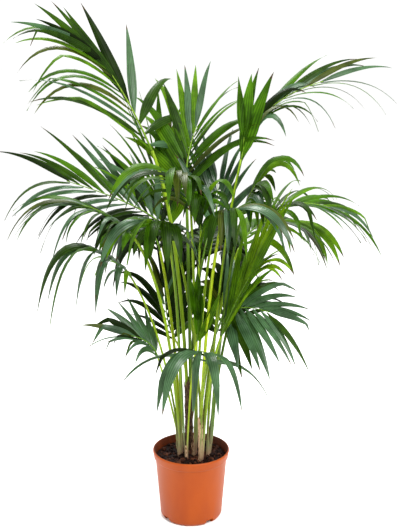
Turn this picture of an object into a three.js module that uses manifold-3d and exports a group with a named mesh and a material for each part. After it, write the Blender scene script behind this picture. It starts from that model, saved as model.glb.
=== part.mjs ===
import * as THREE from 'three';
import { mergeVertices } from 'three/addons/utils/BufferGeometryUtils.js';
import Module from 'manifold-3d';

// A kentia palm in a nursery pot, in millimetres with +Z up.
// The origin is the middle of the pot's flat underside, and the front is towards -Y.

const wasm = await Module();
wasm.setup();

const clearance = 0.3;

// The pot: a 24 cm moulded pot with a rolled lip and four drain notches at its foot.
const pot = {
  height: 221,
  rimRadius: 120,
  lipHeight: 29,
  lipStep: 5,
  wallTopRadius: 112,
  wallFootRadius: 97,
  undersideRadius: 90,
  footHeight: 10,
  wall: 3,
  floor: 6,
  facets: 40,
};
const notch = { count: 4, firstTurn: -55, width: 24, height: 9, depth: 4 };
const soilTop = 198;

// Each stem is a bundle of leaf bases. Its place is that of its top, and it leans out a little.
const stems = {
  left: { x: -38, y: -6, tall: 95 },
  thin: { x: -16, y: -32, tall: 45, footRadius: 9, topRadius: 10 },
  middle: { x: 10, y: 2, tall: 75 },
  front: { x: 34, y: -46, tall: 120 },
  right: { x: 60, y: -4, tall: 100 },
  back_right: { x: 36, y: 46, tall: 160 },
  back: { x: -8, y: 48, tall: 240, footRadius: 17, topRadius: 13.5 },
};
const stem = { footRadius: 13, topRadius: 12.5, lean: 0.1, facets: 10, flare: 1.1 };

// A stalk rises from its stem to the knee, where the first leaflets are.
const stalk = { ring: 8.4, thinRing: 4.8, footRadius: 4.2, kneeRadius: 3.5, facets: 6, steps: 8 };
const rib = { kneeRadius: 3.4, tipRadius: 2.6, steps: 8 };

// A leaflet is drawn in short steps, with a section at some of them and a keel under it.
// Its root is narrow and lies inside the rib.
const leaflet = {
  steps: 14, sections: [0, 4, 9], keel: 0.012, thinnest: 3, sag: 2.2, root: 1.4, offset: 1.5,
};
const usual = {
  bow: 0.35, arch: 0.5, pairs: 8, leaf: [220, 260, 210], width: 30, spread: [50, 33, 16],
  tilt: [20, 38], roll: 0, lift: 0, droop: 0.6, left: {}, right: {},
};

// One entry for each frond. turn is its foot's place round the stem, in degrees from +X.
// A value of three numbers is for the rib's knee, middle and tip. The leaflets on its left and
// right hand may differ. They tilt about their own length, so that neighbours lie like slats.
const fronds = [
  { name: 'upper_left', stem: 'back', turn: 220, knee: [-115, 60, 1147], tip: [-273, 30, 1436], bow: 0.5,
    arch: 0.55, roll: 54, lift: -6, seed: 3,
    left: { pairs: 10, spread: [30, 27, 18], leaf: [370, 350, 290], droop: [0.4, 0.75, 0.5],
      width: [26, 28, 26] },
    right: { pairs: 9, spread: [118, -3, -32], leaf: [280, 320, 280], droop: [0.6, 0.05, 0.2],
      width: [48, 46, 34] } },
  { name: 'upper_right', stem: 'right', turn: 146, knee: [155, 30, 1145], tip: [388, 60, 1350],
    roll: -24, lift: -4, seed: 5,
    left: { pairs: 6, spread: [-12, 16, 17], leaf: [220, 280, 270], droop: [0.8, 0.3, 0.3],
      width: [42, 30, 22] },
    right: { pairs: 7, spread: [8, 26, 14], leaf: [250, 220, 250], droop: [0.6, 1.0, 0.6],
      width: [36, 24, 22] } },
  { name: 'young_right', stem: 'right', turn: 218, knee: [147, -10, 1131], tip: [155, -15, 1196],
    pairs: 2, leaf: [250, 220, 170], width: 50, spread: [2, 2, 2], tilt: [20, 20], roll: 80, droop: 0.2,
    seed: 6 },
  { name: 'top_middle', stem: 'back', turn: 310, knee: [-14, 70, 1030], tip: [18, 130, 1215], lift: 8,
    seed: 7,
    left: { pairs: 8, spread: [40, 26, 10], leaf: [250, 300, 260], droop: 0.25, width: [46, 40, 28] },
    right: { pairs: 9, spread: [54, 34, 14], leaf: [320, 240, 200], droop: [0.45, 0.35, 0.3],
      width: [30, 28, 24] } },
  { name: 'long_left', stem: 'left', turn: 340, knee: [-83, 20, 924], tip: [-360, -20, 1068], bow: 0.8,
    arch: 0.25, pairs: 10, roll: 50, lift: -6, seed: 11,
    left: { spread: [40, 28, 14], leaf: [180, 240, 245], droop: [0.8, 0.7, 0.8], width: [26, 30, 36] },
    right: { spread: [60, 31, 18], leaf: [240, 320, 220], droop: [0.3, 0.05, 0.3], width: [34, 28, 22] } },
  { name: 'arched_left', stem: 'left', turn: 268, knee: [-170, -60, 916], tip: [-305, -110, 1012],
    bow: 0.55, pairs: 7, leaf: [160, 250, 270], width: 26, spread: [50, 32, 14], droop: 0.9, seed: 13 },
  { name: 'drooping_left', stem: 'left', turn: 124, knee: [-178, -20, 780], tip: [-264, -50, 868],
    pairs: 5, roll: -10, lift: -6, seed: 17,
    left: { spread: [44, 36, 26], leaf: [140, 240, 380], width: [26, 34, 44], droop: [1.6, 2.8, 2.7] },
    right: { spread: [44, 26, 8], leaf: [130, 190, 340], width: [24, 30, 44], droop: [1.6, 1.8, 1.9] } },
  { name: 'front_left', stem: 'middle', turn: 0, knee: [2, -60, 980], tip: [-54, -180, 1118], arch: 0.45,
    pairs: 7, width: [34, 40, 40], spread: [50, 35, 20], seed: 19,
    left: { leaf: [160, 220, 200], droop: 1.2 },
    right: { leaf: [150, 240, 260], droop: 1.0 } },
  { name: 'young_front', stem: 'middle', turn: 290, knee: [30, -95, 935], tip: [38, -130, 1035],
    arch: 0.45, pairs: 3, leaf: [190, 190, 170], width: 46, spread: [20, 16, 12], droop: 1.6, seed: 21 },
  { name: 'arched_right', stem: 'right', turn: 2, knee: [154, -20, 974], tip: [186, -50, 1058], pairs: 6,
    roll: -35, seed: 23,
    left: { spread: [56, 36, 6], leaf: [190, 210, 250], droop: [0.6, 0.9, 1.3], width: [48, 46, 28] },
    right: { spread: [50, 36, 20], leaf: [150, 190, 200], droop: [1.4, 1.2, 1.2], width: [44, 42, 36] } },
  { name: 'long_right', stem: 'right', turn: 74, knee: [214, 30, 929], tip: [411, 0, 988], pairs: 9,
    width: [32, 30, 22], seed: 29,
    left: { lift: 18, spread: [44, 34, 16], leaf: [250, 250, 200], droop: [0.6, 0.7, 0.9],
      width: [26, 26, 22] },
    right: { spread: [54, 42, 20], leaf: [190, 270, 220], droop: [0.9, 0.6, 0.8], width: [36, 36, 24] } },
  { name: 'bright_right', stem: 'front', turn: 0, knee: [92, -62, 610], tip: [168, -115, 800], pairs: 7,
    roll: -40, lift: 6, seed: 31, width: [46, 44, 34],
    left: { spread: [26, 18, 8], leaf: [300, 320, 300], droop: 0.15 },
    right: { spread: [20, 20, 14], leaf: [260, 260, 240], droop: [0.2, 0.3, 0.5] } },
  { name: 'lower_right', stem: 'right', turn: 290, knee: [100, -25, 638], tip: [230, -100, 694],
    pairs: 7, roll: -50, seed: 37,
    left: { spread: [46, 30, 10], leaf: [240, 200, 160], droop: 0.3, width: [28, 28, 26] },
    right: { spread: [112, 58, 18], leaf: [190, 240, 200], droop: [0.4, 0.35, 0.4],
      width: [46, 38, 30] } },
  { name: 'lower_left', stem: 'left', turn: 196, knee: [-102, -20, 532], tip: [-178, -50, 606], bow: 0.1,
    pairs: 6, roll: 35, lift: 2, seed: 41,
    left: { spread: [34, 18, 8], leaf: [150, 130, 140], droop: [1.0, 0.5, 0.4], width: 30 },
    right: { spread: [50, 28, 6], leaf: [130, 175, 170], droop: 0.2, width: [40, 32, 28] } },
  { name: 'lower_front', stem: 'front', turn: 250, knee: [46, -100, 538], tip: [25, -170, 599], pairs: 4,
    width: [38, 42, 40], lift: -4, seed: 43,
    left: { spread: [56, 40, 22], leaf: [290, 290, 250], droop: [1.6, 1.9, 2.4] },
    right: { spread: [84, 38, 14], leaf: [280, 240, 240], droop: [1.05, 1.8, 2.6] } },
  { name: 'upright_middle', stem: 'middle', turn: 80, knee: [70, 40, 920], tip: [82, 80, 1048], pairs: 5,
    width: 46, tilt: [35, 50], lift: 8, droop: 0.25, seed: 47,
    left: { spread: [34, 24, 14], leaf: [270, 250, 190] },
    right: { spread: [34, 22, 10], leaf: [220, 220, 190] } },
  { name: 'young_low', stem: 'thin', turn: 0, knee: [19, -50, 590], tip: [22, -56, 661], pairs: 2,
    leaf: [170, 160, 140], width: 56, spread: [8, 7, 6], tilt: [10, 10], roll: 20, droop: 0.1, seed: 53 },
  { name: 'hanging_right', stem: 'front', turn: 120, knee: [87, -90, 946], tip: [130, -160, 1012],
    pairs: 6, width: [40, 40, 34], seed: 57,
    left: { spread: [50, 34, 14], leaf: [210, 240, 240], droop: [1.1, 1.3, 1.6] },
    right: { spread: [66, 42, 18], leaf: [150, 200, 230], droop: [1.5, 1.6, 2.0] } },
  { name: 'hanging_left', stem: 'thin', turn: 180, knee: [-58, -60, 900], tip: [-128, -140, 975],
    pairs: 6, leaf: [190, 230, 200], width: [46, 46, 38], spread: [62, 38, 16], droop: [1.5, 1.7, 2.0],
    seed: 62 },
  { name: 'back_left', stem: 'left', turn: 52, knee: [-96, 100, 832], tip: [-210, 260, 905],
    leaf: [240, 270, 220], width: 40, lift: 2, droop: 2.2, seed: 61 },
  { name: 'back_right', stem: 'back_right', turn: 0, knee: [150, 110, 840], tip: [330, 230, 905],
    leaf: [230, 280, 240], width: 36, lift: 2, droop: 1.2, seed: 67 },
  { name: 'back_middle', stem: 'back', turn: 40, knee: [37, 140, 800], tip: [70, 280, 880], pairs: 10,
    leaf: [290, 310, 240], width: 48, lift: 2, droop: 3.4, seed: 71 },
  { name: 'back_low_right', stem: 'back_right', turn: 90, knee: [80, 120, 560], tip: [130, 200, 710],
    pairs: 7, width: 44, lift: 2, droop: 0.6, seed: 79,
    left: { spread: [70, 42, 18], leaf: [220, 240, 210] },
    right: { spread: [46, 30, 14], leaf: [200, 240, 210] } },
  { name: 'back_low_left', stem: 'back', turn: 130, knee: [-52, 120, 540], tip: [-84, 180, 700],
    pairs: 6, leaf: [160, 210, 240], width: 46, lift: 2, droop: 0.4, seed: 83,
    left: { spread: [40, 22, 8] },
    right: { spread: [64, 34, 8], leaf: [190, 220, 240] } },
  { name: 'back_upper', stem: 'back_right', turn: 210, knee: [-60, 110, 905], tip: [-96, 150, 1060],
    pairs: 7, leaf: [290, 310, 260], width: [46, 44, 34], lift: 4, droop: 0.2, seed: 89,
    left: { spread: [40, 24, 8] },
    right: { spread: [46, 26, 8] } },
];

function finish(name, color, roughness) {
  return new THREE.MeshStandardMaterial({ name, color, roughness, metalness: 0 });
}
const finishes = {
  pot: finish('terracotta_plastic', 0xd9682f, 0.45),
  soil: finish('potting_soil', 0x3a2a20, 0.95),
  stem: finish('leaf_sheath', 0x9a8560, 0.75),
  stalk: finish('green_stalk', 0x8fa83a, 0.5),
  blade: finish('palm_leaf', 0x2f5d2c, 0.45),
};

const up = new THREE.Vector3(0, 0, 1);
const radians = THREE.MathUtils.degToRad;

// A repeatable number from 0 to 1 for a few whole numbers.
function chance(...keys) {
  const sum = keys.reduce((total, key, i) => total + key * (12.9898 + 65.233 * i), 4.137);
  const value = Math.sin(sum) * 43758.5453;
  return value - Math.floor(value);
}

function signedVolume(positions, faces) {
  let total = 0;
  for (let i = 0; i < faces.length; i += 3) {
    const [a, b, c] = [0, 1, 2].map((k) => new THREE.Vector3().fromArray(positions, faces[i + k] * 3));
    total += a.dot(b.cross(c)) / 6;
  }
  return total;
}

// A closed body from a list of shared points and triangles, with its faces turned out.
function closedBody(positions, faces) {
  const outward = signedVolume(positions, faces) < 0 ? [...faces].reverse() : faces;
  const geometry = new THREE.BufferGeometry();
  geometry.setAttribute('position', new THREE.Float32BufferAttribute(positions, 3));
  geometry.setIndex(outward);
  return geometry;
}

// A closed body through rings of points. A last ring of one point makes a sharp tip.
function loft(rings) {
  const count = rings[0].length;
  const positions = rings.flat().flatMap((p) => p.toArray());
  const faces = [];
  for (let k = 1; k < count - 1; k += 1) {
    faces.push(0, k + 1, k);
  }
  for (let r = 0; r < rings.length - 1; r += 1) {
    const base = r * count;
    const next = base + count;
    for (let k = 0; k < count; k += 1) {
      const after = (k + 1) % count;
      if (rings[r + 1].length === 1) {
        faces.push(base + k, base + after, next);
      } else {
        faces.push(base + k, base + after, next + after, base + k, next + after, next + k);
      }
    }
  }
  if (rings.at(-1).length > 1) {
    const base = (rings.length - 1) * count;
    for (let k = 1; k < count - 1; k += 1) {
      faces.push(base, base + k, base + k + 1);
    }
  }
  return closedBody(positions, faces);
}

// A turned body about Z, from [radius, height] points that start and end on the axis.
function turned(profile) {
  const points = profile.map(([radius, height]) => new THREE.Vector2(radius, height));
  const geometry = new THREE.LatheGeometry(points, pot.facets);
  geometry.rotateX(Math.PI / 2);
  geometry.deleteAttribute('normal');
  geometry.deleteAttribute('uv');
  const merged = mergeVertices(geometry, 0.01);
  const faces = [];
  const index = merged.index.array;
  for (let i = 0; i < index.length; i += 3) {
    const [a, b, c] = [index[i], index[i + 1], index[i + 2]];
    if (a !== b && b !== c && c !== a) {
      faces.push(a, b, c);
    }
  }
  return closedBody([...merged.attributes.position.array], faces);
}

function toSolid(geometry) {
  const vertProperties = new Float32Array(geometry.attributes.position.array);
  const triVerts = new Uint32Array(geometry.index.array);
  return new wasm.Manifold(new wasm.Mesh({ numProp: 3, vertProperties, triVerts }));
}

function toGeometry(solid) {
  const mesh = solid.getMesh();
  const geometry = new THREE.BufferGeometry();
  geometry.setAttribute('position', new THREE.BufferAttribute(mesh.vertProperties, 3));
  geometry.setIndex(new THREE.BufferAttribute(mesh.triVerts, 1));
  return geometry;
}

// The inner wall's radius at a height, in line with the outer wall and the lip.
function innerRadius(height) {
  const lipFoot = pot.height - pot.lipHeight;
  const share = THREE.MathUtils.clamp((height - pot.footHeight) / (lipFoot - pot.footHeight), 0, 1);
  return THREE.MathUtils.lerp(pot.wallFootRadius, pot.wallTopRadius, share) - pot.wall;
}

function potShell() {
  const { height, rimRadius, undersideRadius, footHeight, floor, lipHeight, lipStep } = pot;
  const lipFoot = height - lipHeight;
  const body = turned([
    [0, 0],
    [undersideRadius, 0],
    [pot.wallFootRadius, footHeight],
    [pot.wallTopRadius, lipFoot],
    [pot.wallTopRadius + lipStep, lipFoot + 3],
    [rimRadius - 0.5, height - 8],
    [rimRadius, height - 5],
    [rimRadius - 1, height - 1],
    [rimRadius - 3, height],
    [rimRadius - 6, height - 1.5],
    [innerRadius(lipFoot) + 3, lipFoot + 4],
    [innerRadius(lipFoot), lipFoot - 4],
    [innerRadius(footHeight + floor), footHeight + floor],
    [undersideRadius - 2, floor],
    [0, floor],
  ]);
  let solid = toSolid(body);
  for (let i = 0; i < notch.count; i += 1) {
    const turn = radians(notch.firstTurn + (i * 360) / notch.count);
    const reach = 20;
    const block = new THREE.BoxGeometry(reach, notch.width, notch.height * 2);
    block.translate(pot.wallFootRadius - notch.depth + reach / 2, 0, 0);
    block.rotateZ(turn);
    block.deleteAttribute('normal');
    block.deleteAttribute('uv');
    solid = solid.subtract(toSolid(mergeVertices(block, 0.01)));
  }
  return toGeometry(solid);
}

function soilPlug() {
  const gap = clearance + 0.1;
  const { floor, footHeight } = pot;
  return turned([
    [0, floor + gap],
    [pot.undersideRadius - 2 - gap, floor + gap],
    [innerRadius(footHeight + floor) - gap, footHeight + floor],
    [innerRadius(pot.height) - gap, pot.height - pot.lipHeight - 4],
    [innerRadius(pot.height) - gap, soilTop],
    [0, soilTop],
  ]);
}

// The two directions across a path at a point: one level, the other above it.
function across(tangent, heading) {
  const side = new THREE.Vector3(heading.y, -heading.x, 0);
  side.addScaledVector(tangent, -side.dot(tangent)).normalize();
  return { side, above: side.clone().cross(tangent) };
}

function levelHeading(from, to) {
  const heading = to.clone().sub(from).setZ(0);
  return heading.length() > 1e-6 ? heading.normalize() : new THREE.Vector3(1, 0, 0);
}

function ringAt(centre, radius, facets, side, above) {
  return Array.from({ length: facets }, (_, k) => {
    const angle = (k * 2 * Math.PI) / facets;
    return centre
      .clone()
      .addScaledVector(side, Math.cos(angle) * radius)
      .addScaledVector(above, Math.sin(angle) * radius);
  });
}

// A stem is cut flat at the soil, flares a little there and is flat on top.
function stemBody(place) {
  const footRadius = place.footRadius ?? stem.footRadius;
  const topRadius = place.topRadius ?? stem.topRadius;
  const east = new THREE.Vector3(1, 0, 0);
  const north = new THREE.Vector3(0, 1, 0);
  const shares = [0, 0.08, 0.35, 0.7, 1];
  return loft(
    shares.map((share) => {
      const lean = 1 - stem.lean * (1 - share);
      const height = soilTop + clearance + (place.tall - clearance) * share;
      const radius = THREE.MathUtils.lerp(footRadius, topRadius, share) * (share === 0 ? stem.flare : 1);
      const centre = new THREE.Vector3(place.x * lean, place.y * lean, height);
      return ringAt(centre, radius, stem.facets, east, north);
    }),
  );
}

// A frond's two arcs: the stalk from its foot to the knee, then the rib from the knee to the tip.
function arcs(frond) {
  const place = stems[frond.stem];
  const ring = place.topRadius && place.topRadius < stem.topRadius ? stalk.thinRing : stalk.ring;
  const turn = radians(frond.turn);
  const foot = new THREE.Vector3(
    place.x + ring * Math.cos(turn),
    place.y + ring * Math.sin(turn),
    soilTop + place.tall + clearance,
  );
  const knee = new THREE.Vector3(...frond.knee);
  const tip = new THREE.Vector3(...frond.tip);
  const rise = knee.clone().sub(foot);
  const out = 0.5 - frond.bow / 2;
  const lower = foot.clone().add(new THREE.Vector3(rise.x * out, rise.y * out, rise.z * (1 - out)));
  const leaving = knee.clone().sub(lower).normalize();
  const middle = knee.clone().addScaledVector(leaving, knee.distanceTo(tip) * frond.arch);
  return {
    stalk: new THREE.QuadraticBezierCurve3(foot, lower, knee),
    rib: new THREE.QuadraticBezierCurve3(knee, middle, tip),
  };
}

function stalkBody(curve) {
  const heading = levelHeading(curve.v0, curve.v2);
  const rings = [];
  for (let i = 0; i <= stalk.steps; i += 1) {
    const share = i / stalk.steps;
    const tangent = i === 0 ? up : curve.getTangent(share);
    const { side, above } = across(tangent, heading);
    const centre = curve.getPoint(share);
    if (i === stalk.steps) {
      centre.addScaledVector(tangent, -clearance);
    }
    const radius = THREE.MathUtils.lerp(stalk.footRadius, stalk.kneeRadius, share);
    rings.push(ringAt(centre, radius, stalk.facets, side, above));
  }
  return loft(rings);
}

// The two directions across a blade, which is rolled about its rib.
function rolledAcross(frond, curve, share) {
  const tangent = curve.getTangent(share);
  const level = across(tangent, levelHeading(curve.v0, curve.v2));
  const roll = radians(frond.roll);
  const side = level.side.clone().multiplyScalar(Math.cos(roll)).addScaledVector(level.above, Math.sin(roll));
  const above = side.clone().cross(tangent);
  return { tangent, side, above };
}

// A rib is square, with a flat face towards the leaflets of each side.
function ribBody(frond, curve) {
  const rings = [];
  for (let i = 0; i <= rib.steps; i += 1) {
    const share = i / rib.steps;
    const { side, above } = rolledAcross(frond, curve, share);
    const half = THREE.MathUtils.lerp(rib.kneeRadius, rib.tipRadius, share) * Math.SQRT1_2;
    const centre = curve.getPoint(share);
    const corner = (a, b) => centre.clone().addScaledVector(side, a * half).addScaledVector(above, b * half);
    rings.push([corner(1, 1), corner(-1, 1), corner(-1, -1), corner(1, -1)]);
  }
  return loft(rings);
}

// A value for the whole rib, or one each for its knee, middle and tip, read at a share of it.
function along(values, share) {
  const [atKnee, atMiddle, atTip] = Array.isArray(values) ? values : [values, values, values];
  return share < 0.5
    ? THREE.MathUtils.lerp(atKnee, atMiddle, share * 2)
    : THREE.MathUtils.lerp(atMiddle, atTip, share * 2 - 1);
}

// How wide a leaflet is at a share of its length, beside its widest.
function widthShare(share) {
  const swell = 0.26 + 0.74 * Math.sin((Math.PI / 2) * Math.min(share / 0.34, 1));
  const taper = 1 - Math.max((share - 0.34) / 0.66, 0) ** 1.5;
  return swell * taper;
}

// A leaflet is a keeled blade that leaves the rib at an angle and sags towards its tip.
function leafletBody(frond, pair, hand, aim, extra) {
  const last = frond.pairs - 1;
  const stagger = hand > 0 && pair < last ? 0.3 : 0;
  const share = 0.03 + (0.95 * (pair + stagger)) / last;
  const curve = frond.arcs.rib;
  const { tangent, side, above } = rolledAcross(frond, curve, share);
  const vary = (key) => 2 * chance(frond.seed, pair + 1, hand + 2, key) - 1;
  const spread = radians(along(frond.spread, share) + 5 * vary(1) + aim.spread);
  const lift = radians(frond.lift + 7 * vary(2) + aim.lift);
  const length = along(frond.leaf, share) * (1 + 0.1 * vary(3));
  const sag = along(frond.droop, share) * (1 + 0.4 * vary(4)) * leaflet.sag;
  const width = along(frond.width, share) * (1 + 0.12 * vary(5)) * Math.min(1, 0.6 + (0.4 * length) / 260);
  const tilt = hand * radians(THREE.MathUtils.lerp(...frond.tilt, share) + 6 * vary(6));
  const keel = Math.max(leaflet.thinnest, length * leaflet.keel);
  const start = tangent
    .clone()
    .multiplyScalar(Math.cos(spread))
    .addScaledVector(side, hand * Math.sin(spread) * Math.cos(lift))
    .addScaledVector(above, Math.sin(spread) * Math.sin(lift));
  const flat = start.clone().cross(above).normalize();
  const at = curve.getPoint(share).addScaledVector(side, hand * leaflet.offset);
  const rings = [];
  const stride = (length + extra) / leaflet.steps;
  for (let k = 0; k < leaflet.steps; k += 1) {
    const fall = sag * ((k + 0.5) / leaflet.steps) ** 1.7;
    const direction = start.clone().addScaledVector(up, -fall).normalize();
    flat.addScaledVector(direction, -direction.dot(flat)).normalize();
    if (leaflet.sections.includes(k)) {
      const half = (k === 0 ? leaflet.root : (widthShare(k / leaflet.steps) * width) / 2) + extra / 2;
      const depth = (k === 0 ? leaflet.root : keel) + extra;
      const square = flat.clone().cross(direction).normalize();
      const edge = flat.clone().multiplyScalar(Math.cos(tilt)).addScaledVector(square, Math.sin(tilt));
      const face = edge.clone().cross(direction).normalize();
      rings.push([
        at.clone().addScaledVector(edge, half).addScaledVector(face, depth / 2),
        at.clone().addScaledVector(edge, -half).addScaledVector(face, depth / 2),
        at.clone().addScaledVector(face, -depth / 2),
      ]);
    }
    at.addScaledVector(direction, stride);
  }
  rings.push([at]);
  return toSolid(loft(rings));
}

function boxesMeet(a, b) {
  return [0, 1, 2].every((k) => a.min[k] <= b.max[k] && b.min[k] <= a.max[k]);
}

// Everything that a leaflet has to keep clear of, each with the frond that it belongs to.
const taken = [];
function claim(solid, owner) {
  taken.push({ solid, owner, box: solid.boundingBox() });
}
function isFree(solid, owner) {
  const box = solid.boundingBox();
  const others = taken.filter((other) => other.owner !== `rib_${owner}` && boxesMeet(box, other.box));
  return others.every((other) => solid.intersect(other.solid).isEmpty());
}

const palm = new THREE.Group();
function place(name, geometry, material) {
  const mesh = new THREE.Mesh(geometry, material);
  mesh.name = name;
  palm.add(mesh);
}

place('pot', potShell(), finishes.pot);
place('soil', soilPlug(), finishes.soil);
claim(toSolid(turned([[0, 0], [pot.rimRadius, 0], [pot.rimRadius, pot.height], [0, pot.height]])), 'pot');
for (const [name, spot] of Object.entries(stems)) {
  const body = stemBody(spot);
  place(`stem_${name}`, body, finishes.stem);
  claim(toSolid(body), `stem_${name}`);
}

const grown = fronds.map((entry) => ({ ...usual, ...entry }));
for (const frond of grown) {
  frond.arcs = arcs(frond);
  const body = stalkBody(frond.arcs.stalk);
  place(`stalk_${frond.name}`, body, finishes.stalk);
  claim(toSolid(body), `stalk_${frond.name}`);
  frond.blade = toSolid(ribBody(frond, frond.arcs.rib));
  claim(frond.blade, `rib_${frond.name}`);
}

// A leaflet that meets a neighbour is turned a little, and left out where that doesn't clear it.
const aims = [0, 6, -6, 12, -12, 20, -20, -30].flatMap((spread) =>
  [0, 8, -8, 16, -16, 24, -24, 32, -32, 45, -45].map((lift) => ({ spread, lift })),
);
const margin = 3 * clearance;
for (const frond of grown) {
  for (const hand of [-1, 1]) {
    const own = { ...frond, ...(hand < 0 ? frond.left : frond.right) };
    for (let pair = 0; pair < own.pairs; pair += 1) {
      const aim = aims.find((tried) => isFree(leafletBody(own, pair, hand, tried, margin), own.name));
      if (aim) {
        const solid = leafletBody(own, pair, hand, aim, 0);
        claim(solid, own.name);
        frond.blade = frond.blade.add(solid);
      }
    }
  }
  place(`frond_${frond.name}`, toGeometry(frond.blade), finishes.blade);
}

export default palm;
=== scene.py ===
import math
import random

import bmesh
import bpy
from mathutils import Matrix, Vector, noise


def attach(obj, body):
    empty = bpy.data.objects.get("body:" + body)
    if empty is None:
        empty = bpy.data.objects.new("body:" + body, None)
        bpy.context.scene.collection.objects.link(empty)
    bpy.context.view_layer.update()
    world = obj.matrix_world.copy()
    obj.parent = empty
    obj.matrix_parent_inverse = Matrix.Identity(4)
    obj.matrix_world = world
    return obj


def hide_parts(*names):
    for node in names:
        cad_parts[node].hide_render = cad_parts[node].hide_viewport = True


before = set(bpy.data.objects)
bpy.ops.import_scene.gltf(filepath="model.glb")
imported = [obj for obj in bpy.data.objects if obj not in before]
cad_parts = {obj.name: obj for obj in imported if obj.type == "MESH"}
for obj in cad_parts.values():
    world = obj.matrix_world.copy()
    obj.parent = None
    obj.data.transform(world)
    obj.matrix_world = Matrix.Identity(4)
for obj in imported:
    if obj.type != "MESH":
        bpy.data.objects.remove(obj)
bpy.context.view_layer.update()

scene = bpy.context.scene
mm = 0.001  # the sizes below are in millimetres, and the meshes in metres
up = Vector((0, 0, 1))

# The camera stands where the photograph was taken from
view = {"place": (28, -2600, 1427), "lookDown": 13.24, "focalLength": 60.8, "sensorHeight": 36}

cameraData = bpy.data.cameras.new("camera")
cameraData.sensor_fit = "VERTICAL"
cameraData.sensor_height = view["sensorHeight"]
cameraData.lens = view["focalLength"]
camera = bpy.data.objects.new("camera", cameraData)
camera.location = Vector(view["place"]) * mm
camera.rotation_euler = (math.radians(90 - view["lookDown"]), 0, 0)
scene.collection.objects.link(camera)
scene.camera = camera
print("camera placed")


# Small helpers for meshes and materials
def lerp(a, b, share):
    return a + (b - a) * share


def clamp(value, low=0.0, high=1.0):
    return max(low, min(high, value))


def smooth(share):
    share = clamp(share)
    return share * share * (3 - 2 * share)


# Even steps from 0 to 1
def shares(count):
    return [i / count for i in range(count + 1)]


def fromHex(code):
    channels = [int(code[i:i + 2], 16) / 255 for i in (1, 3, 5)]
    linear = [c / 12.92 if c <= 0.04045 else ((c + 0.055) / 1.055) ** 2.4 for c in channels]
    return (*linear, 1.0)


def newMaterial(name):
    material = bpy.data.materials.new(name)
    material.use_nodes = True
    material.node_tree.nodes.clear()
    return material, material.node_tree


# A shader node with its settings, each a property or a socket of it, and with its links
def addNode(tree, kind, settings=None, links=None):
    node = tree.nodes.new("ShaderNode" + kind)
    for name, value in (settings or {}).items():
        if isinstance(name, str) and hasattr(node, name):
            setattr(node, name, value)
        else:
            node.inputs[name].default_value = value
    for name, source in (links or {}).items():
        tree.links.new(source, node.inputs[name])
    return node


# The object's own coordinates, stretched, as the link of a pattern
def stretched(tree, scale):
    place = addNode(tree, "TexCoord")
    mapped = addNode(tree, "Mapping", {"Scale": scale}, {"Vector": place.outputs["Object"]})
    return {"Vector": mapped.outputs["Vector"]}


def colourSteps(tree, source, steps):
    ramp = addNode(tree, "ValToRGB", links={"Fac": source})
    stops = ramp.color_ramp.elements
    while len(stops) < len(steps):
        stops.new(0.5)
    for stop, (place, code) in zip(stops, steps):
        stop.position = place
        stop.color = fromHex(code)
    return ramp


# A finished piece takes the place of the nodes named
def makePiece(name, bm, materials, nodes, sharpAngle=None):
    mesh = bpy.data.meshes.new(name)
    bm.to_mesh(mesh)
    bm.free()
    for face in mesh.polygons:
        face.use_smooth = True
    if sharpAngle is not None:
        mesh.set_sharp_from_angle(angle=math.radians(sharpAngle))
    for material in materials:
        mesh.materials.append(material)
    piece = bpy.data.objects.new(name, mesh)
    scene.collection.objects.link(piece)
    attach(piece, "root")
    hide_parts(*nodes)
    return piece


# The faces round these corners take a material, by its place among the piece's
def paint(verts, material):
    for vert in verts:
        for face in vert.link_faces:
            face.material_index = material


# A closed round body: a profile of (radius, height) points from axis to axis is spun
def spinProfile(bm, profile, steps):
    corners = [bm.verts.new((radius * mm, 0, height * mm)) for radius, height in profile]
    edges = [bm.edges.new(pair) for pair in zip(corners, corners[1:])]
    bmesh.ops.spin(
        bm, geom=corners + edges, axis=up, cent=(0, 0, 0), angle=2 * math.pi, steps=steps, use_merge=True
    )
    bmesh.ops.remove_doubles(bm, verts=bm.verts, dist=0.01 * mm)
    bmesh.ops.recalc_face_normals(bm, faces=bm.faces)


# A round limb: a ring is extruded from place to place, each a centre, two directions and a radius
def growLimb(bm, places, sides, material=0):
    def seat(place):
        centre, side, above, radius = place
        turn = Matrix((side, above, side.cross(above))).transposed().to_4x4()
        return Matrix.Translation(centre) @ turn @ Matrix.Scale(radius, 4)

    seats = [seat(place) for place in places]
    ring = bmesh.ops.create_circle(bm, segments=sides, radius=1, cap_ends=True, matrix=seats[0])["verts"]
    loop = list(dict.fromkeys(edge for vert in ring for edge in vert.link_edges))
    rings = [ring]
    for before, after in zip(seats, seats[1:]):
        grown = bmesh.ops.extrude_edge_only(bm, edges=loop)["geom"]
        ring = [item for item in grown if isinstance(item, bmesh.types.BMVert)]
        loop = [item for item in grown if isinstance(item, bmesh.types.BMEdge)]
        bmesh.ops.transform(bm, matrix=after @ before.inverted(), verts=ring)
        rings.append(ring)
    bmesh.ops.contextual_create(bm, geom=loop)
    for ring in rings:
        paint(ring, material)
    return rings


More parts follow.
